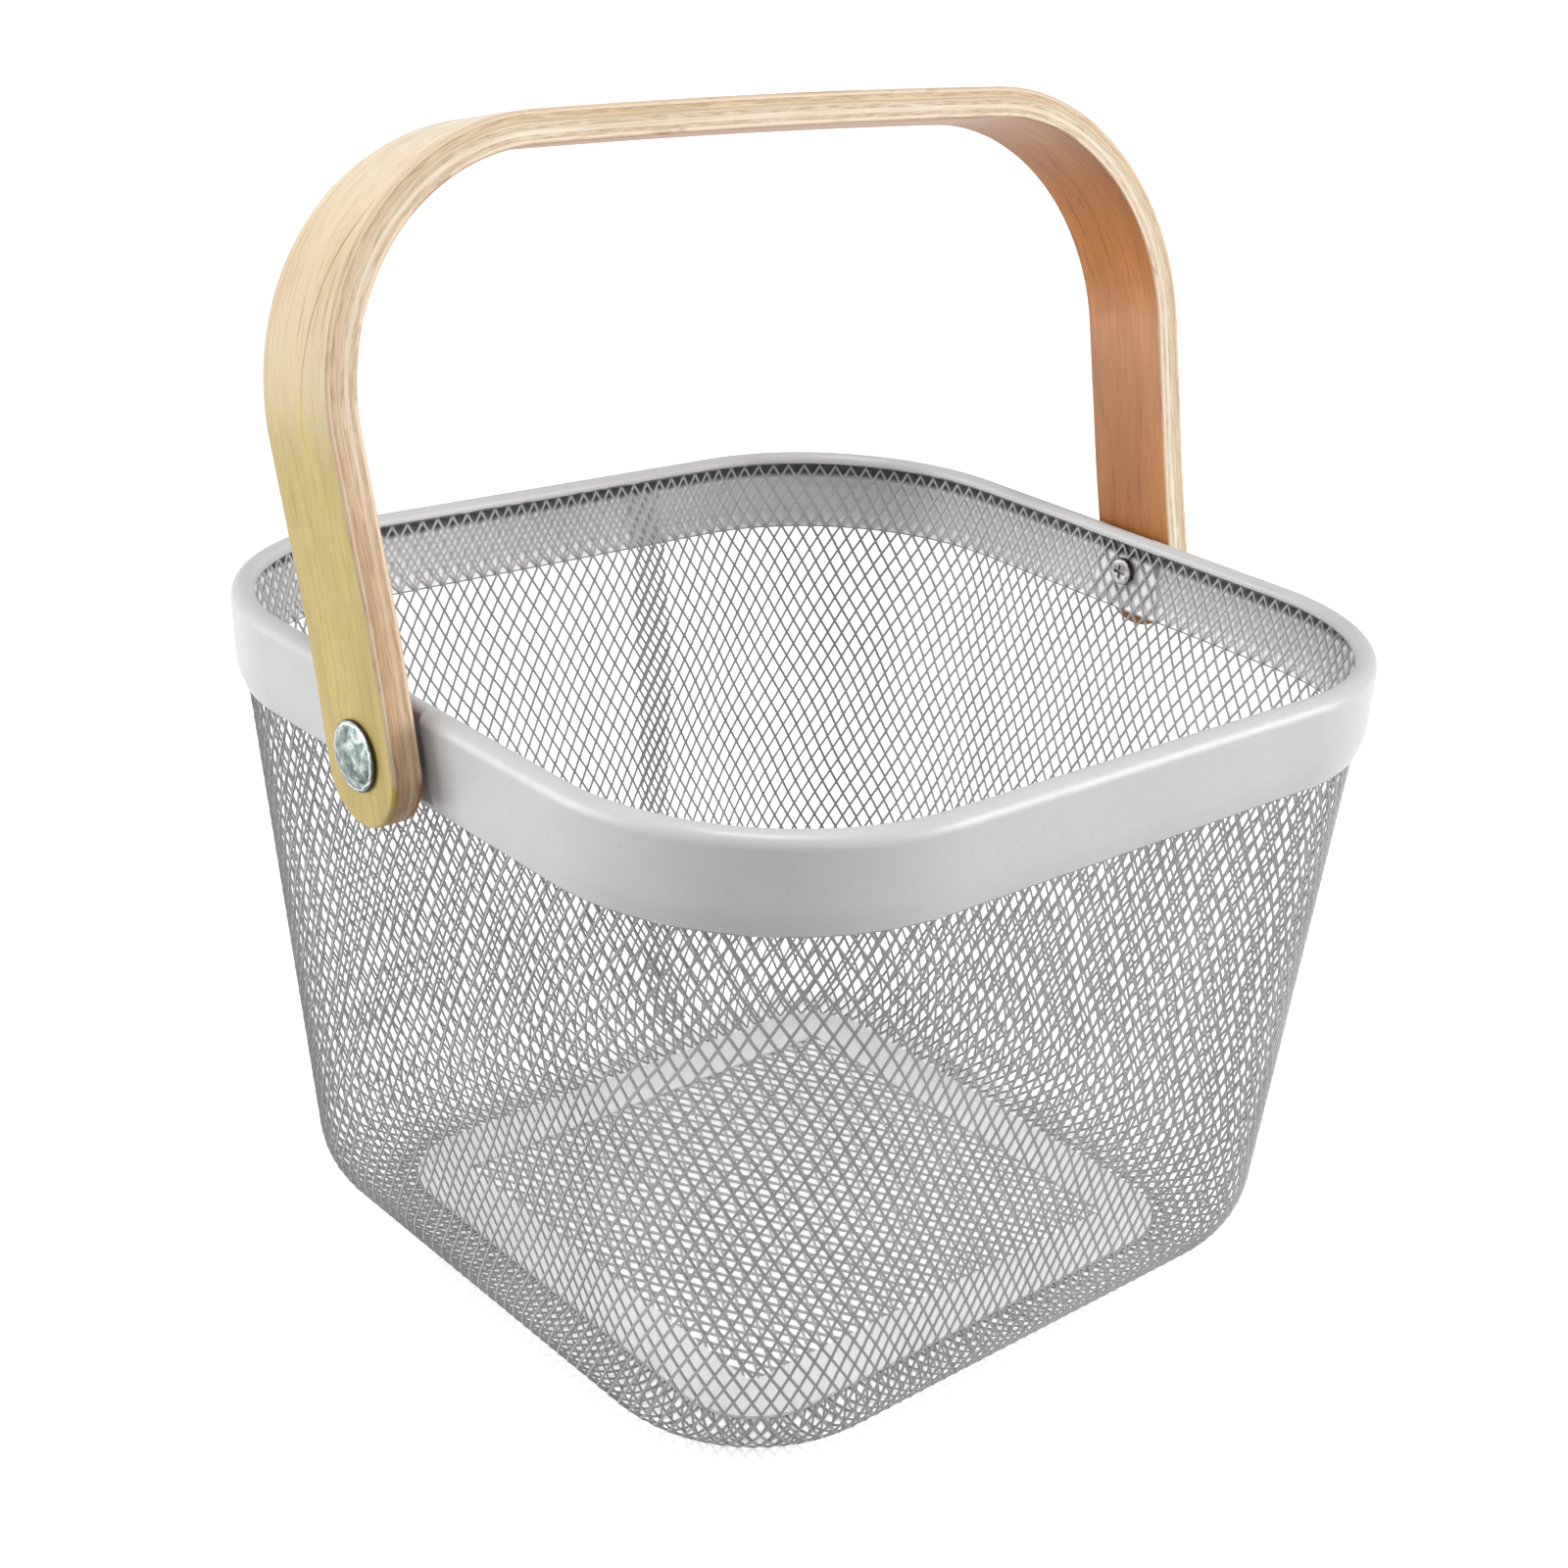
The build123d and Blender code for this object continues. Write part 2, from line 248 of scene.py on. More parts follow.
def lattice(name, columns, rows, place, closed):
    """Expanded metal: bonds joined by slanted strands, each bond a small four-cornered plate.

    place(column, row, side, rise, depth) gives points in space. side, rise and depth are metres
    from the bond's centre: round the sheet, up it and out of it.
    """
    half_side = STRAND_WIDTH / (2 * math.cos(STRAND_SLOPE)) * BOND_WIDENING
    half_rise = STRAND_WIDTH / (2 * math.sin(STRAND_SLOPE)) * BOND_LENGTHENING
    column, row = np.meshgrid(np.arange(columns), np.arange(rows))
    column = (column + 0.5 * (row % 2)).ravel().astype(float)
    row = row.ravel().astype(float)
    cosine, sine = math.cos(STRAND_TWIST), math.sin(STRAND_TWIST)
    points = []
    for layer in (STRAND_DEPTH / 2, -STRAND_DEPTH / 2):
        for side, rise in ((-half_side, 0), (0, -half_rise), (half_side, 0), (0, half_rise)):
            points.append(place(column, row, side * cosine + layer * sine, rise,
                                layer * cosine - side * sine))
    points = np.stack(points, 1).reshape(-1, 3)

    left, low, right, high = range(4)
    index = np.arange(columns * rows).reshape(rows, columns)
    faces = []

    def add_plate(corner_list, closed_edges):
        """Outer face, inner face and the given side walls of a plate."""
        outer = [bond * 8 + corner for bond, corner in corner_list]
        inner = [bond * 8 + 4 + corner for bond, corner in corner_list]
        faces.append(np.stack(outer, 1))
        faces.append(np.stack(inner[::-1], 1))
        for k in closed_edges:
            after = (k + 1) % 4
            faces.append(np.stack([outer[after], outer[k], inner[k], inner[after]], 1))

    bonds = index.ravel()
    add_plate([(bonds, left), (bonds, low), (bonds, right), (bonds, high)], [])
    for direction in (1, -1):
        for parity in (0, 1):
            start = index[parity:-1:2]
            above = index[parity + 1::2][:len(start)]
            start = start[:len(above)]
            shift = (0 if parity == 0 else 1) if direction == 1 else (-1 if parity == 0 else 0)
            target = np.roll(above, -shift, axis=1)
            if not closed and shift == 1:
                start, target = start[:, :-1], target[:, :-1]
            if not closed and shift == -1:
                start, target = start[:, 1:], target[:, 1:]
            a, b = start.ravel(), target.ravel()
            if direction == 1:
                add_plate([(a, high), (a, right), (b, low), (b, left)], [1, 3])
            else:
                add_plate([(a, left), (a, high), (b, right), (b, low)], [1, 3])
    return new_object(name, points, np.concatenate(faces).tolist())


def wall_path():
    """The mesh wall's middle surface, from its turned-in foot to its cut top edge."""
    inset = MESH_THICKNESS / 2
    points = [
        (FLANGE_INNER_HALF, inset),
        (WALL_FOOT_HALF - inset, inset),
        (WALL_TOP_HALF - inset, WALL_BEND_HEIGHT),
        (WALL_TOP_HALF - inset, mesh_top),
    ]
    return rounded_path(points, [FOOT_RADIUS - inset, WALL_BEND_RADIUS - inset], 0.8 * MM)


def ripple(turn, distance):
    """Small slow wander of the diamonds, as a stretched sheet has."""
    total = 0
    for size, waves_round, waves_up, start in RIPPLES:
        waves = waves_round * turn + waves_up * distance / RIPPLE_LENGTH
        total = total + size * np.sin(2 * math.pi * waves + start)
    return total


def wall_place(first_column, inward):
    """Where the wall's bonds go. inward moves a second layer towards the basket's inside."""
    path = wall_path()
    length = path_length(path)

    def place(column, row, side, rise, depth):
        distance = row * ROW_RISE + rise + FIRST_ROW
        turn = (first_column + column) / DIAMONDS_ROUND
        half, z, inward_x, inward_z = along_path(path, np.clip(distance, 0, length))
        pitch = perimeter(half) / DIAMONDS_ROUND
        turn = turn + (side / pitch + ripple(turn, distance) * RIPPLE_SIZE) / DIAMONDS_ROUND
        out = depth - inward
        x, y, normal_x, normal_y = on_outline(half, turn)
        x = x - inward_x * out * normal_x
        y = y - inward_x * out * normal_y
        return np.stack([x, y, z - inward_z * out], 1)

    rows = int((length - TOP_MARGIN) / ROW_RISE) + 1
    return place, rows


def wall_mesh():
    place, rows = wall_place(0, 0)
    return lattice("mesh_wall_strands", DIAMONDS_ROUND, rows, place, True)


def mesh_seam():
    """The wall strip's overlapped ends: a second narrow layer on the +Y side."""
    seam_turn = 0.25 - SEAM_PLACE / perimeter(WALL_FOOT_HALF)
    first = round(seam_turn * DIAMONDS_ROUND) - 0.8
    place, rows = wall_place(first, SEAM_INWARD)

    def raised(column, row, side, rise, depth):
        return place(column, row + SEAM_FIRST_ROW, side, rise, depth)

    return lattice("mesh_seam_overlap", SEAM_COLUMNS, rows - SEAM_ROWS_LEFT_OUT, raised, False)


def bottom_mesh():
    """The flat panel of mesh inside the wall's turned-in foot."""
    low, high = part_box("bottom_mesh")
    columns = int((high.x - low.x - BOTTOM_SIDE_MARGIN) / BOTTOM_PITCH)
    rows = int((high.y - low.y - BOTTOM_END_MARGIN) / ROW_RISE) + 1
    middle = (low.z + high.z) / 2

    def place(column, row, side, rise, depth):
        x = (column - columns / 2 + 0.25) * BOTTOM_PITCH + side
        y = (row - (rows - 1) / 2) * ROW_RISE + rise
        return np.stack([x, y, np.full_like(x, middle) + depth], 1)

    return lattice("mesh_bottom_strands", columns, rows, place, False)


# ---- sheet metal -----------------------------------------------------------------------------

def band_section(outer, shoulder, shoulder_height, radii):
    """Closed section of the band as (x, z) points: the outer side up, then the inner side back."""
    points = [
        (BAND_LOW_HALF, BAND_LOW),
        (shoulder, shoulder_height),
        (outer, rim_top),
        (LIP_HALF, rim_top),
        (LIP_HALF, LIP_LOW),
    ]
    path = rounded_path(points, radii, 0.25 * MM)
    x, z, normal_x, normal_z = along_path(path, np.linspace(0, path_length(path), SECTION_POINTS))
    edge = BAND_SHEET / 2
    middle_x, middle_z = x + normal_x * edge, z + normal_z * edge
    tangent_x, tangent_z = normal_z, -normal_x
    last = SECTION_POINTS - 1
    section = [(x[k], z[k]) for k in range(1, last)]
    for k, ahead in ((last, 1), (0, -1)):
        end_x = middle_x[k] - ahead * tangent_x[k] * edge
        end_z = middle_z[k] - ahead * tangent_z[k] * edge
        for step in range(HEM_STEPS + 1):
            angle = math.pi * step / HEM_STEPS
            around = -math.cos(angle) * ahead
            beyond = math.sin(angle) * ahead
            section.append((end_x + edge * (around * normal_x[k] + beyond * tangent_x[k]),
                            end_z + edge * (around * normal_z[k] + beyond * tangent_z[k])))
        if ahead == 1:
            section += [(x[j] + 2 * edge * normal_x[j], z[j] + 2 * edge * normal_z[j])
                        for j in range(last - 1, 0, -1)]
    return np.array(section)


def smooth_step(value, low, high):
    share = np.clip((value - low) / (high - low), 0, 1)
    return share * share * (3 - 2 * share)


def band_turns():
    """Places round the band, close together where the seats step in on the +X and -X sides."""
    turns = []
    for quarter in range(4):
        side = quarter * 0.25
        if quarter % 2 == 0:
            seat_edge = (SEAT_HALF_WIDTH_LOW + 2 * STEP_WIDTH) / perimeter(RIM_HALF)
            turns += list(side + np.linspace(-seat_edge, seat_edge, 180))
        turns += list(side + np.linspace(-0.125, 0.125, 96, endpoint=False))
    return np.unique(np.round(np.mod(turns, 1.0), 7))


def rim_band():
    """The rolled band, with a flat seat pressed in behind each leg of the handle."""
    plain = band_section(RIM_HALF, CREASE_HALF, CREASE_HEIGHT, BAND_RADII)
    seat = band_section(seat_face, seat_face, SEAT_CREASE_HEIGHT, SEAT_RADII)
    share = np.clip((plain[:, 1] - BAND_LOW) / (rim_top - BAND_LOW), 0, 1)
    seat_edge = SEAT_HALF_WIDTH_LOW + (SEAT_HALF_WIDTH_HIGH - SEAT_HALF_WIDTH_LOW) * share
    turns = band_turns()
    points = []
    for turn in turns:
        x, y, normal_x, normal_y = on_outline(np.array([RIM_HALF]), np.array([turn]))
        pressed = 1 - smooth_step(abs(y[0]), seat_edge, seat_edge + STEP_WIDTH)
        pressed = (pressed * (abs(x[0]) > RIM_HALF - 1 * MM))[:, None]
        section = plain * (1 - pressed) + seat * pressed
        half = section[:, 0]
        x = x[0] + (half - RIM_HALF) * normal_x[0]
        y = y[0] + (half - RIM_HALF) * normal_y[0]
        points.append(np.stack([x, y, section[:, 1]], 1))
    faces = grid_faces(len(turns), len(plain), close_rows=True)
    return new_object("rim_band_sheet", np.concatenate(points), faces, smooth=True)


def softened_copy(node, name, edge, segments=3):
    """A copy of a CAD node with its arrises rounded, as a real sheared or turned piece has them."""
    mesh = frame["nodes"][node].data.copy()
    mesh.materials.clear()
    copy = bpy.data.objects.new(name, mesh)
    bpy.context.scene.collection.objects.link(copy)
    weld = copy.modifiers.new("weld", "WELD")
    weld.merge_threshold = 0.005 * MM
    flat = copy.modifiers.new("flat", "DECIMATE")
    flat.decimate_type = "DISSOLVE"
    flat.angle_limit = math.radians(1.0)
    bevel = copy.modifiers.new("bevel", "BEVEL")
    bevel.width = edge
    bevel.segments = segments
    bevel.limit_method = "ANGLE"
    bevel.angle_limit = math.radians(30.0)
    bevel.use_clamp_overlap = True
    apply_modifiers(copy)
    smooth_by_angle(copy, 35.0)
    return copy


def apply_modifiers(obj):
    """Replaces an object's mesh with what its modifiers make of it."""
    graph = bpy.context.evaluated_depsgraph_get()
    graph.update()
    made = bpy.data.meshes.new_from_object(obj.evaluated_get(graph))
    obj.modifiers.clear()
    obj.data = made


def smooth_by_angle(obj, degrees):
    """Marks the sharp edges, so that flats stay flat and curved faces shade smoothly."""
    mesh = obj.data
    mesh.shade_smooth()
    mesh.set_sharp_from_angle(angle=math.radians(degrees))


# ---- handle ----------------------------------------------------------------------------------

def arch_centres():
    """Centres of the handle's outer outline, upright, with the pivot at the origin."""
    bow = (leg_outer + LEG_BOW_RADIUS, LEG_STRAIGHT)
    bow_end_x = bow[0] - LEG_BOW_RADIUS * math.cos(LEG_LEAN)
    bow_end_z = bow[1] + LEG_BOW_RADIUS * math.sin(LEG_LEAN)
    base_x = bow_end_x - ARCH_CORNER_RADIUS * math.cos(LEG_LEAN)
    base_z = bow_end_z + ARCH_CORNER_RADIUS * math.sin(LEG_LEAN)
    rise = math.tan(CROWN_ANGLE / 2)
    above = ARCH_HEIGHT - base_z - ARCH_CORNER_RADIUS * math.cos(CROWN_ANGLE)
    above -= (base_x + ARCH_CORNER_RADIUS * math.sin(CROWN_ANGLE)) * rise
    run = above / (math.cos(LEG_LEAN) + math.sin(LEG_LEAN) * rise)
    corner = (base_x + run * math.sin(LEG_LEAN), base_z + run * math.cos(LEG_LEAN))
    return bow, corner


def arch_stations():
    """Outer outline from end to end: x, z and outward normal, and the distance along the strip."""
    bow, corner = arch_centres()
    right = []

    def add(x, z, angle):
        right.append((x, z, math.cos(angle), math.sin(angle)))

    end_radius = HANDLE_WIDTH / 2
    for k in range(1, END_STEPS + 1):
        rise = end_radius * (1 - math.cos(math.pi / 2 * k / END_STEPS))
        add(leg_outer, -LEG_BELOW_PIVOT + rise, 0)
    for z in np.linspace(-LEG_BELOW_PIVOT + end_radius, LEG_STRAIGHT, 10)[1:-1]:
        add(leg_outer, float(z), 0)
    for k in range(BOW_STEPS + 1):
        angle = LEG_LEAN * k / BOW_STEPS
        x = bow[0] - LEG_BOW_RADIUS * math.cos(angle)
        z = bow[1] + LEG_BOW_RADIUS * math.sin(angle)
        add(x, z, -angle)
    bow_end = right[-1]
    corner_start = (corner[0] + ARCH_CORNER_RADIUS * math.cos(LEG_LEAN),
                    corner[1] - ARCH_CORNER_RADIUS * math.sin(LEG_LEAN))
    for share in (0.25, 0.5, 0.75):
        add(bow_end[0] + (corner_start[0] - bow_end[0]) * share,
            bow_end[1] + (corner_start[1] - bow_end[1]) * share, -LEG_LEAN)
    last = math.pi / 2 - CROWN_ANGLE
    for k in range(CORNER_STEPS + 1):
        angle = -LEG_LEAN + (last + LEG_LEAN) * k / CORNER_STEPS
        x = corner[0] + ARCH_CORNER_RADIUS * math.cos(angle)
        z = corner[1] + ARCH_CORNER_RADIUS * math.sin(angle)
        add(x, z, angle)
    end_x, end_z = right[-1][0], right[-1][1]
    crown_radius = end_x / math.sin(CROWN_ANGLE)
    crown_centre = end_z - crown_radius * math.cos(CROWN_ANGLE)
    for k in range(1, CROWN_STEPS + 1):
        lean = CROWN_ANGLE * (1 - k / CROWN_STEPS)
        z = crown_centre + crown_radius * math.cos(lean)
        add(crown_radius * math.sin(lean), z, math.pi / 2 - lean)
    left = [(-x, z, -nx, nz) for x, z, nx, nz in right[-2::-1]]
    stations = np.array(right + left)
    steps = np.hypot(np.diff(stations[:, 0]), np.diff(stations[:, 1]))
    distance = np.concatenate([[0], np.cumsum(steps)])
    return stations, distance


def end_half_width(z_low):
    """Half the strip's width at a height above its rounded end."""
    radius = HANDLE_WIDTH / 2
    below = np.clip(radius - z_low, 0, radius)
    return np.sqrt(np.maximum(radius**2 - below**2, 1e-12))


def places_across(half):
    """Places across the strip, close together where its arris is eased."""
    fine = ARRIS * np.array(ARRIS_PLACES) * min(1, half / (3 * ARRIS))
    flat = np.linspace(-half + fine[-1], half - fine[-1], 7)[1:-1]
    return np.concatenate([-half + fine, flat, half - fine[::-1]])


def eased_depth(y, from_end):
    """How far the eased arris sinks at a place on the strip's face."""
    radius = HANDLE_WIDTH / 2
    inset = radius - math.hypot(y, max(0.0, radius - from_end))
    into = min(ARRIS, max(0.0, ARRIS - inset))
    return ARRIS - math.sqrt(ARRIS**2 - into**2)


def handle_ply(number, stations, distance):
    """One veneer as a swept strip, its outermost arrises eased, with a bore for each sleeve."""
    thickness = HANDLE_THICKNESS / PLY_COUNT
    outer, inner = (number - 1) * thickness, number * thickness
    points = []
    end_distances = np.minimum(distance, distance[-1] - distance)
    first_rise = (1 - math.cos(math.pi / 2 / END_STEPS)) * HANDLE_WIDTH / 2
    half_widths = end_half_width(end_distances + first_rise)
    for (x, z, nx, nz), half, from_end in zip(stations, half_widths, end_distances):
        places = places_across(half)
        for y in places:
            shift = outer + (eased_depth(y, from_end) if number == 1 else 0)
            points.append((x - nx * shift, y, z - nz * shift))
        for y in places[::-1]:
            shift = inner - (eased_depth(y, from_end) if number == PLY_COUNT else 0)
            points.append((x - nx * shift, y, z - nz * shift))
    count = 2 * len(places)
    last = (len(stations) - 1) * count
    faces = grid_faces(len(stations), count)
    faces += [tuple(range(count))[::-1], tuple(range(last, last + count))]
    ply = new_object(f"ply_{number}_veneer", points, faces)
    cut_bores(ply)
    add_float_vector(ply, "strip", strip_coordinates(ply, stations, distance))
    tilt = Matrix.Translation(pivot) @ Matrix.Rotation(-HANDLE_TILT, 4, "X")
    ply.data.transform(tilt)
    smooth_by_angle(ply, 30.0)
    return ply


def strip_coordinates(ply, stations, distance):
    """Each point's distance along the strip, place across it and depth under its outer face."""
    co = np.zeros(len(ply.data.vertices) * 3)
    ply.data.vertices.foreach_get("co", co)
    co = co.reshape(-1, 3)
    start, step = stations[:-1, :2], np.diff(stations[:, :2], axis=0)
    offset = co[:, None, [0, 2]] - start[None]
    share = np.clip((offset * step).sum(2) / (step**2).sum(1), 0, 1)
    miss = np.hypot(*(offset - share[..., None] * step).transpose(2, 0, 1))
    nearest = miss.argmin(1)
    rows = np.arange(len(co))
    along = distance[nearest] + share[rows, nearest] * np.diff(distance)[nearest]
    return np.stack([along, co[:, 1], miss[rows, nearest]], 1)


def cut_bores(ply):
    """Cuts the two pivot holes while the handle still stands upright round the origin."""
    bar = round_bar("bore", BORE_RADIUS, -2 * leg_outer, 2 * leg_outer, 64)
    bore = ply.modifiers.new("bore", "BOOLEAN")
    bore.operation = "DIFFERENCE"
    bore.solver = "EXACT"
    bore.object = bar
    apply_modifiers(ply)
    bpy.data.objects.remove(bar)


def round_bar(name, radius, x_from, x_to, sides):
    """A bar along X round the origin."""
    points = []
    for x in (x_from, x_to):
        for k in range(sides):
            angle = 2 * math.pi * k / sides
            points.append((x, radius * math.cos(angle), radius * math.sin(angle)))
    faces = [(k, (k + 1) % sides, sides + (k + 1) % sides, sides + k) for k in range(sides)]
    faces += [tuple(range(sides))[::-1], tuple(range(sides, 2 * sides))]
    return new_object(name, points, faces)


# ---- materials -------------------------------------------------------------------------------

BLACK, WHITE = (0, 0, 0), (1, 1, 1)


class Nodes:
    """Short calls for building one material's node tree."""

    def __init__(self, name):
        self.material = bpy.data.materials.new(name)
        self.material.use_nodes = True
        self.tree = self.material.node_tree
        self.shader = self.tree.nodes["Principled BSDF"]

    def add(self, kind, **settings):
        node = self.tree.nodes.new(kind)
        for key, value in settings.items():
            if key in node.inputs:
                node.inputs[key].default_value = value
            else:
                setattr(node, key, value)
        return node

    def link(self, source, target):
        self.tree.links.new(source, target)

    def put(self, value, socket):
        """Links another node's output to a socket, or sets the socket itself."""
        if isinstance(value, bpy.types.NodeSocket):
            self.link(value, socket)
        else:
            socket.default_value = value

    def coordinates(self, scale=(1, 1, 1), attribute=None):
        """Object coordinates, or a stored attribute, stretched by a scale per axis."""
        stretch = self.add("ShaderNodeMapping")
        stretch.inputs["Scale"].default_value = scale
        if attribute:
            source = self.add("ShaderNodeAttribute", attribute_name=attribute).outputs["Vector"]
        else:
            source = self.add("ShaderNodeTexCoord").outputs["Object"]
        self.link(source, stretch.inputs["Vector"])
        return stretch.outputs["Vector"]

    def parts(self, vector):
        """The X, Y and Z of a vector."""
        node = self.add("ShaderNodeSeparateXYZ")
        self.link(vector, node.inputs["Vector"])
        return node.outputs

    def noise(self, vector, scale, detail=3.0, roughness=0.55, distortion=0.0):
        node = self.add("ShaderNodeTexNoise", Scale=scale, Detail=detail, Roughness=roughness,
                        Distortion=distortion)
        self.link(vector, node.inputs["Vector"])
        return node.outputs["Fac"]

    def ramp(self, value, stops):
        """A colour ramp from (position, colour) stops."""
        node = self.add("ShaderNodeValToRGB")
        elements = node.color_ramp.elements
        for k, (position, colour) in enumerate(stops):
            element = elements[k] if k < 2 else elements.new(position)
            element.position = position
            element.color = (*colour, 1.0)
        self.link(value, node.inputs["Fac"])
        return node.outputs["Color"]

    def mix(self, factor, first, second, blend="MIX"):
        node = self.add("ShaderNodeMix", data_type="RGBA", blend_type=blend)
        self.put(factor, node.inputs[0])
        for value, socket in ((first, node.inputs[6]), (second, node.inputs[7])):
            self.put((*value, 1.0) if isinstance(value, tuple) else value, socket)
        return node.outputs[2]

    def times(self, colour, other, share=1.0):
        """One colour multiplied by another, wholly or in part."""
        return self.mix(share, colour, other, "MULTIPLY")

    def range(self, value, low, high, start=0.0, end=1.0):
        """A value between start and end, mapped to one between low and high."""
        node = self.add("ShaderNodeMapRange")
        limits = {"From Min": start, "From Max": end, "To Min": low, "To Max": high}
        for socket, limit in limits.items():
            node.inputs[socket].default_value = limit
        self.link(value, node.inputs["Value"])
        return node.outputs["Result"]

    def calculate(self, operation, *values):
        node = self.add("ShaderNodeMath", operation=operation)
        for value, socket in zip(values, node.inputs):
            self.put(value, socket)
        return node.outputs[0]

    def calculate_vector(self, operation, *vectors):
        node = self.add("ShaderNodeVectorMath", operation=operation)
        for vector, socket in zip(vectors, node.inputs):
            self.put(vector, socket)
        return node.outputs

    def bump(self, height, strength, distance):
        node = self.add("ShaderNodeBump", Strength=strength, Distance=distance)
        self.link(height, node.inputs["Height"])
        self.link(node.outputs["Normal"], self.shader.inputs["Normal"])

    def set(self, **values):
        for key, value in values.items():
            self.shader.inputs[key.replace("_", " ")].default_value = value


def grey(level):
    return (level, level, level)


def inner_side(n):
    """A mask for the sheet's inner side, which faces the basket's middle."""
    place = n.add("ShaderNodeNewGeometry")
    level = n.calculate_vector("MULTIPLY", place.outputs["Position"], (1, 1, 0))[0]
    facing = n.calculate_vector("DOT_PRODUCT", level, place.outputs["Normal"])["Value"]
    return n.range(facing, 0.0, 1.0, -0.02, -0.08)


def band_painted_light(n, base):
    """Painted light on the band: its inner side made lighter, and a painted shadow as a dark strip
    close under the lip.
    """
    inner = inner_side(n)
    height = n.range(n.parts(n.coordinates())["Z"], 0.0, 1.0, 172 * MM, 180 * MM)
    below_lip = n.ramp(height, [(0.96, WHITE), (0.98, BLACK)])
    shade = n.ramp(height, [(0.26, BLACK), (0.46, WHITE), (0.96, WHITE), (0.98, BLACK)])
    # Painted light: the inner side below the lip is made 1.85 times lighter.
    base = n.mix(n.times(below_lip, inner), base, n.times(base, grey(1.85)))
    # Painted shadow: a dark strip on the inner side close under the lip.
    return n.mix(n.times(shade, inner), base, grey(0.07))


def covered_painted_light(n, base):
    """Painted light: the mesh is made lighter where the band covers it."""
    height = n.range(n.parts(n.coordinates())["Z"], 0.0, 1.0, BAND_LOW, BAND_LOW + 2 * MM)
    return n.mix(height, base, n.times(base, grey(1.6)))


def painted_steel(name, light, dark, peel, painted_light=None):
    """Baked light grey paint: faint mottling, small dull rubs and orange peel of a given depth.

    painted_light, where there is one, paints light and shade into the colour in some places.
    """
    n = Nodes(name)
    where = n.coordinates()
    base = n.ramp(n.noise(where, 28, 4), [(0.3, grey(dark)), (0.7, grey(light))])
    speck = n.ramp(n.noise(where, 420, 3, 0.7), [(0.30, (0.88, 0.88, 0.87)), (0.42, WHITE)])
    base = n.times(base, speck, 0.6)
    if painted_light:
        base = painted_light(n, base)
    n.link(base, n.shader.inputs["Base Color"])
    n.link(n.range(n.noise(where, 70, 5, 0.6), 0.30, 0.46), n.shader.inputs["Roughness"])
    n.bump(n.noise(where, 900, 2), 0.25, peel)
    return n.material


def leg_and_top(n, along, slow, leg_tones, top_tones_and_light):
    """The face veneer's ground colour: the legs' tones, then the top's, partly painted light,
    browner at its bends.
    """
    leg = n.ramp(slow, [(0.32, leg_tones[0]), (0.68, leg_tones[1])])
    high = n.ramp(slow, [(0.32, top_tones_and_light[0]), (0.68, top_tones_and_light[1])])
    uneven = n.calculate("MULTIPLY_ADD", slow, 0.10, along)
    top = n.ramp(uneven, [(0.19, BLACK), (0.26, WHITE), (0.82, WHITE), (0.89, BLACK)])
    base = n.mix(top, leg, high)
    browner = (0.82, 0.74, 0.62)
    bend = n.ramp(along, [(0.24, browner), (0.34, WHITE), (0.66, WHITE), (0.76, browner)])
    return n.mix(top, base, n.times(base, bend))


def long_check(n, strip, length, wander):
    """A mask for one fine drying crack that runs down the left bend from its front arris."""
    from_end = n.calculate("MULTIPLY_ADD", strip["X"], -1.0, length)
    at_end = CHECK_LOW_PLACE - CHECK_LOW * CHECK_SLOPE
    course = n.calculate("MULTIPLY_ADD", from_end, CHECK_SLOPE, at_end)
    offset = n.calculate("ADD", strip["Y"], course)
    offset = n.calculate("MULTIPLY_ADD", wander, CHECK_WANDER, offset)
    apart = n.calculate("ABSOLUTE", n.calculate("SUBTRACT", offset, CHECK_WANDER / 2))
    thin = n.ramp(n.calculate("MULTIPLY", apart, 1 / MM), [(0.24, WHITE), (0.42, BLACK)])
    low = CHECK_LOW / CHECK_HIGH
    strong = grey(0.85)
    reach = n.ramp(n.calculate("MULTIPLY", from_end, 1 / CHECK_HIGH),
                   [(low, BLACK), (low + 0.12, strong), (0.93, strong), (1.0, BLACK)])
    return n.times(thin, reach)


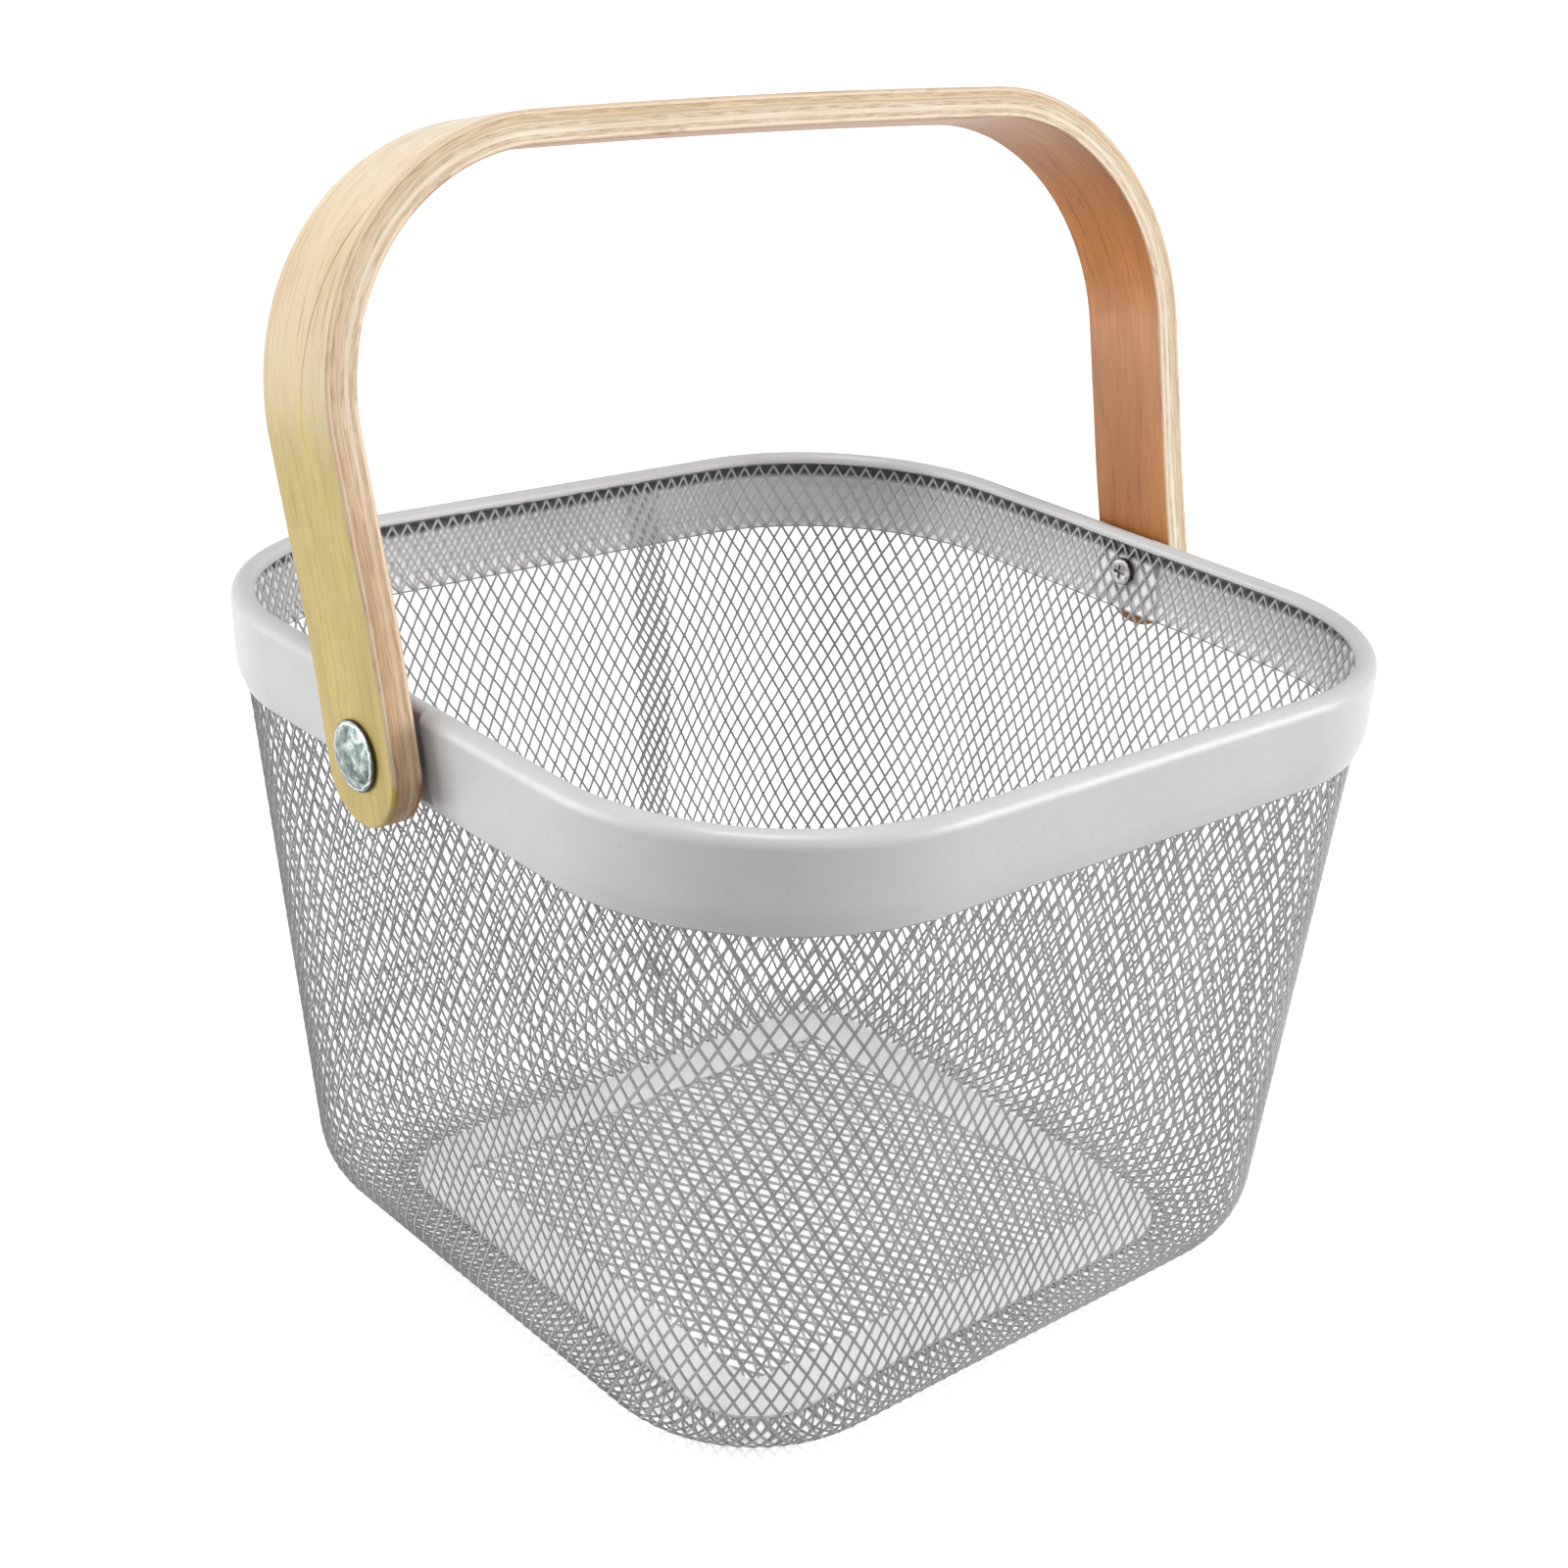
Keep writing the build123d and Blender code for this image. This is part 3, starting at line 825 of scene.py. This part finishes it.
def face_veneer(name, length, leg_tones, top_tones_and_light, fleck, cut):
    """Long-grained face veneer under clear lacquer; its top is lighter than its legs, partly as
    painted light.
    """
    n = Nodes(name)
    strip = n.parts(n.coordinates((1, 1, 1), "strip"))
    slow = n.noise(n.coordinates((9, 60, 6), "strip"), 1.0, 4, 0.6, 0.8)
    grain = n.noise(n.coordinates((34, 820, 120), "strip"), 1.0, 6, 0.7, 0.7)
    fine = n.noise(n.coordinates((90, 2600, 300), "strip"), 1.0, 3, 0.6)
    streak = n.noise(n.coordinates((10, 150, 60), "strip"), 1.0, 2, 0.4, 1.5)
    along = n.range(strip["X"], 0.0, 1.0, 0.0, length)
    base = leg_and_top(n, along, slow, leg_tones, top_tones_and_light)
    lines = n.ramp(grain, [(0.34, fleck), (0.46, (0.96, 0.95, 0.93)), (0.60, WHITE),
                           (0.74, (0.90, 0.86, 0.80))])
    coloured = n.times(base, lines, 0.6)
    pores = n.ramp(fine, [(0.36, (0.66, 0.54, 0.40)), (0.47, WHITE)])
    coloured = n.times(coloured, pores, 0.5)
    marks = n.ramp(streak, [(0.485, WHITE), (0.4975, fleck), (0.5025, fleck), (0.515, WHITE)])
    coloured = n.times(coloured, marks, 0.2)
    coloured = n.mix(long_check(n, strip, length, slow), coloured, (0.28, 0.11, 0.03))
    beside = n.calculate("DIVIDE", n.calculate("ABSOLUTE", strip["Y"]), HANDLE_WIDTH / 2)
    at_edge = n.ramp(beside, [(0.958, BLACK), (0.982, WHITE)])
    n.link(n.mix(at_edge, coloured, n.times(lines, cut, 0.9)), n.shader.inputs["Base Color"])
    n.link(n.range(grain, 0.36, 0.55), n.shader.inputs["Roughness"])
    n.bump(fine, 0.25, 0.06 * MM)
    n.set(Coat_Weight=0.15, Coat_Roughness=0.3)
    return n.material


def edge_veneer(name, length, light, dark, stretch):
    """A veneer seen on the strip's edge: end grain for a cross ply, long streaks for a long one.

    The two plies under the outer face are browner than the middle ones, and one leg is warmer
    than the rest, as the sheets of the real stack differ.
    """
    n = Nodes(name)
    share = n.parts(n.coordinates((1 / length, 1, 1 / HANDLE_THICKNESS), "strip"))
    grain = n.noise(n.coordinates(stretch, "strip"), 1.0, 5, 0.7)
    slow = n.noise(n.coordinates((25, 25, 25), "strip"), 1.0, 3)
    base = n.ramp(grain, [(0.32, dark), (0.64, light)])
    stack = n.ramp(share["Z"], [(0.14, (0.78, 0.66, 0.52)), (0.27, (0.90, 0.80, 0.66)),
                                (0.36, (0.60, 0.47, 0.33)), (0.45, (0.94, 0.94, 0.93)),
                                (0.88, (0.92, 0.90, 0.87))])
    base = n.times(base, stack, 0.8)
    warmer = n.ramp(share["X"], [(0.76, WHITE), (0.92, (0.86, 0.66, 0.50))])
    base = n.times(base, warmer, 0.8)
    worn = n.ramp(slow, [(0.35, (0.86, 0.80, 0.72)), (0.6, WHITE)])
    n.link(n.times(base, worn, 0.6), n.shader.inputs["Base Color"])
    n.link(n.range(grain, 0.5, 0.7), n.shader.inputs["Roughness"])
    n.bump(grain, 0.3, 0.08 * MM)
    return n.material


def worn_zinc(name, rim, dull, mid, bright):
    """Zinc plate in dull and bright patches, chipped bright at its rim, with painted shade outside
    it.
    """
    n = Nodes(name)
    where = n.coordinates()
    patch = n.noise(where, 330, 5, 0.6, 0.5)
    scratch = n.noise(n.coordinates((1, 1, 6)), 900, 4, 0.7, 1.0)
    base = n.ramp(patch, [(0.34, dull), (0.50, mid), (0.70, bright)])
    base = n.times(base, n.ramp(scratch, [(0.36, (0.40, 0.42, 0.40)), (0.48, WHITE)]), 0.7)
    spoke = n.add("ShaderNodeMapping")
    spoke.inputs["Location"].default_value = (0, -pivot.y / rim, -pivot.z / rim)
    spoke.inputs["Scale"].default_value = (0, 1 / rim, 1 / rim)
    n.link(n.add("ShaderNodeTexCoord").outputs["Object"], spoke.inputs["Vector"])
    radius = n.calculate_vector("LENGTH", spoke.outputs["Vector"])["Value"]
    uneven = n.calculate("MULTIPLY_ADD", n.noise(where, 700, 3, 0.6), 0.16, radius)
    chips = n.ramp(uneven, [(0.955, BLACK), (0.985, WHITE), (1.03, WHITE), (1.05, BLACK)])
    base = n.mix(chips, base, (0.62, 0.64, 0.60))
    # Painted shade: the side outside the head's rim is made nearly black.
    outside = n.ramp(radius, [(0.965, BLACK), (0.985, WHITE)])
    n.link(n.mix(outside, base, (0.05, 0.035, 0.025)), n.shader.inputs["Base Color"])
    n.link(n.range(patch, 0.55, 0.28), n.shader.inputs["Roughness"])
    n.bump(n.noise(where, 520, 4, 0.65), 0.55, 0.25 * MM)
    n.set(Metallic=0.85)
    return n.material


def dark_plastic(name):
    """Black moulded plastic with a fine grain."""
    n = Nodes(name)
    where = n.coordinates()
    mottle = n.noise(where, 600, 4)
    base = n.ramp(mottle, [(0.3, (0.03, 0.03, 0.032)), (0.7, (0.075, 0.075, 0.08))])
    n.link(base, n.shader.inputs["Base Color"])
    n.link(n.range(mottle, 0.45, 0.65), n.shader.inputs["Roughness"])
    n.bump(n.noise(where, 1500, 2), 0.2, 0.05 * MM)
    return n.material


def floor_paper(name):
    """White paper that glows a little more far out, and much less right under the basket as a
    painted shadow.
    """
    n = Nodes(name)
    where = n.coordinates()
    base = n.ramp(n.noise(where, 3, 3), [(0.3, grey(0.94)), (0.7, grey(0.97))])
    n.link(base, n.shader.inputs["Base Color"])
    n.link(n.range(n.noise(where, 200, 3), 0.7, 0.85), n.shader.inputs["Roughness"])
    reach = n.calculate_vector("LENGTH", where)["Value"]
    glow = n.range(reach, 0.30, 0.60, 0.35, 1.8)
    # Painted shadow: the glow is cut down near the basket.
    under = n.range(reach, 0.25, 1.0, 0.06, 0.12)
    n.link(n.calculate("MULTIPLY", glow, under), n.shader.inputs["Emission Strength"])
    n.set(Emission_Color=(1, 1, 1, 1))
    return n.material


def finish_piece(piece, body, slot, material, *nodes):
    """Gives a piece its material, puts it on its body and hides the CAD nodes it stands for; the
    slot is not used.
    """
    piece.data.materials.clear()
    piece.data.materials.append(material)
    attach(piece, body)
    if nodes:
        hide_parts(*nodes)


# ---- the object ------------------------------------------------------------------------------

def half_height(node):
    """Half a node's height, which is its head's radius for a turned fastener."""
    low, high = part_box(node)
    return (high.z - low.z) / 2


# Painted light and shade: the band, ring, wall mesh and bottom mesh are one light grey paint, given
# different greys for the light on each; the ring much lighter, the wall mesh darker.
ring_paint_and_light = painted_steel("painted_sheet", light=0.78, dark=0.72, peel=0.02 * MM)
band_paint_and_light = painted_steel("painted_band_and_light", light=0.46, dark=0.42, peel=0.02 * MM, painted_light=band_painted_light)
mesh_paint_and_light = painted_steel("painted_mesh", light=0.30, dark=0.21, peel=0.01 * MM, painted_light=covered_painted_light)
bottom_paint_and_light = painted_steel("painted_bottom_and_light", light=0.44, dark=0.34, peel=0.01 * MM)

finish_piece(wall_mesh(), "basket", "painted_mesh", mesh_paint_and_light, "wall_mesh")
finish_piece(mesh_seam(), "basket", "painted_mesh", mesh_paint_and_light)
finish_piece(bottom_mesh(), "basket", "painted_mesh", bottom_paint_and_light, "bottom_mesh")
finish_piece(rim_band(), "basket", "painted_sheet", band_paint_and_light, "rim_band")
ring = softened_copy("base_ring", "base_ring_plate", 0.25 * MM)
finish_piece(ring, "basket", "painted_sheet", ring_paint_and_light, "base_ring")

stations, distance = arch_stations()
strip_length = float(distance[-1])
outer_veneer = face_veneer("outer_face_veneer", strip_length,
                           leg_tones=((0.32, 0.235, 0.040), (0.44, 0.325, 0.075)),
                           top_tones_and_light=((0.55, 0.445, 0.31), (0.69, 0.615, 0.49)),
                           fleck=(0.62, 0.42, 0.24), cut=(0.42, 0.29, 0.16))
# The inner face's darker orange tones are partly painted shade.
inner_veneer = face_veneer("inner_face_veneer", strip_length,
                           leg_tones=((0.27, 0.092, 0.014), (0.37, 0.145, 0.030)),
                           top_tones_and_light=((0.46, 0.175, 0.033), (0.60, 0.265, 0.066)),
                           fleck=(0.50, 0.28, 0.13), cut=(0.48, 0.34, 0.20))
long_veneer = edge_veneer("long_veneer", strip_length, light=(0.70, 0.61, 0.48),
                          dark=(0.48, 0.38, 0.27), stretch=(45, 400, 2400))
cross_veneer = edge_veneer("cross_veneer", strip_length, light=(0.60, 0.50, 0.37),
                           dark=(0.33, 0.23, 0.13), stretch=(170, 400, 2000))
for number in range(1, PLY_COUNT + 1):
    if number == 1:
        look, slot = outer_veneer, "face_veneer"
    elif number == PLY_COUNT:
        look, slot = inner_veneer, "face_veneer"
    elif number % 2:
        look, slot = long_veneer, "long_veneer"
    else:
        look, slot = cross_veneer, "cross_veneer"
    ply = handle_ply(number, stations, distance)
    finish_piece(ply, "handle", slot, look, f"handle_ply_{number}")

nut_zinc = worn_zinc("nut_zinc", half_height("barrel_nut_right"), dull=(0.05, 0.06, 0.06),
                     mid=(0.17, 0.215, 0.205), bright=(0.50, 0.52, 0.48))
screw_zinc = worn_zinc("screw_zinc", half_height("pivot_screw_right"), dull=(0.20, 0.20, 0.20),
                       mid=(0.50, 0.50, 0.49), bright=(0.80, 0.80, 0.79))
for side in ("right", "left"):
    nut = softened_copy(f"barrel_nut_{side}", f"nut_{side}_worn", 0.22 * MM)
    finish_piece(nut, "basket", "zinc", nut_zinc, f"barrel_nut_{side}")
    screw = softened_copy(f"pivot_screw_{side}", f"screw_{side}_worn", 0.08 * MM, 2)
    finish_piece(screw, "basket", "zinc", screw_zinc, f"pivot_screw_{side}")
    washer = softened_copy(f"spacer_washer_{side}", f"washer_{side}_moulded", 0.25 * MM)
    plastic = dark_plastic(f"dark_plastic_{side}")
    finish_piece(washer, "basket", "dark_plastic", plastic, f"spacer_washer_{side}")


# ---- floor, lights and camera ----------------------------------------------------------------

def studio_floor():
    """A wide paper floor that doesn't throw light back up at the object."""
    half = 12.0
    corners = [(-half, -half, 0), (half, -half, 0), (half, half, 0), (-half, half, 0)]
    floor = new_object("floor", corners, [(0, 1, 2, 3)])
    floor.data.materials.append(floor_paper("floor_paper"))
    floor.visible_diffuse = False


def soft_light(name, place, aim, width, power):
    """A square area light that faces its aim."""
    data = bpy.data.lights.new(name, "AREA")
    data.shape = "SQUARE"
    data.size = width
    data.energy = power
    light = bpy.data.objects.new(name, data)
    light.location = place
    light.rotation_euler = (Vector(aim) - Vector(place)).to_track_quat("-Z", "Y").to_euler()
    bpy.context.scene.collection.objects.link(light)


def pale_world(strength):
    """Plain white light from all round."""
    world = bpy.data.worlds.new("studio")
    world.use_nodes = True
    background = world.node_tree.nodes["Background"]
    background.inputs["Color"].default_value = (1.0, 1.0, 1.0, 1.0)
    background.inputs["Strength"].default_value = strength
    bpy.context.scene.world = world
    bpy.context.scene.view_settings.view_transform = "Standard"


def photo_camera():
    """Stands where the object is seen from, with the frame moved a little off the lens's axis."""
    azimuth, elevation, roll = (math.radians(v) for v in (-46.484, 24.206, 4.860))
    aim = Vector((40.28, -47.70, 121.45)) * MM
    stand_off = 666.21 * MM
    back = Vector((math.sin(azimuth) * math.cos(elevation),
                   -math.cos(azimuth) * math.cos(elevation),
                   math.sin(elevation)))
    data = bpy.data.cameras.new("camera")
    data.sensor_width = 36.0
    data.lens = 56.12
    data.shift_x = -0.1564
    data.shift_y = 0.0361
    camera = bpy.data.objects.new("camera", data)
    turn = (-back).to_track_quat("-Z", "Y").to_matrix().to_4x4() @ Matrix.Rotation(roll, 4, "Z")
    camera.matrix_world = Matrix.Translation(aim + back * stand_off) @ turn
    bpy.context.scene.collection.objects.link(camera)
    bpy.context.scene.camera = camera


studio_floor()
middle = (0, 0, 0.12)
soft_light("left_softbox", (-1.42, 0.88, 0.55), middle, 1.0, 24)
soft_light("right_softbox", (1.05, -1.3, 0.6), middle, 0.9, 25.5)
soft_light("top_light", (-0.3, -0.1, 1.6), middle, 0.4, 6)
soft_light("mouth_light", (-0.16, -0.16, 0.70), (0.06, 0.06, 0.12), 0.2, 0.9)
pale_world(0.57)
photo_camera()
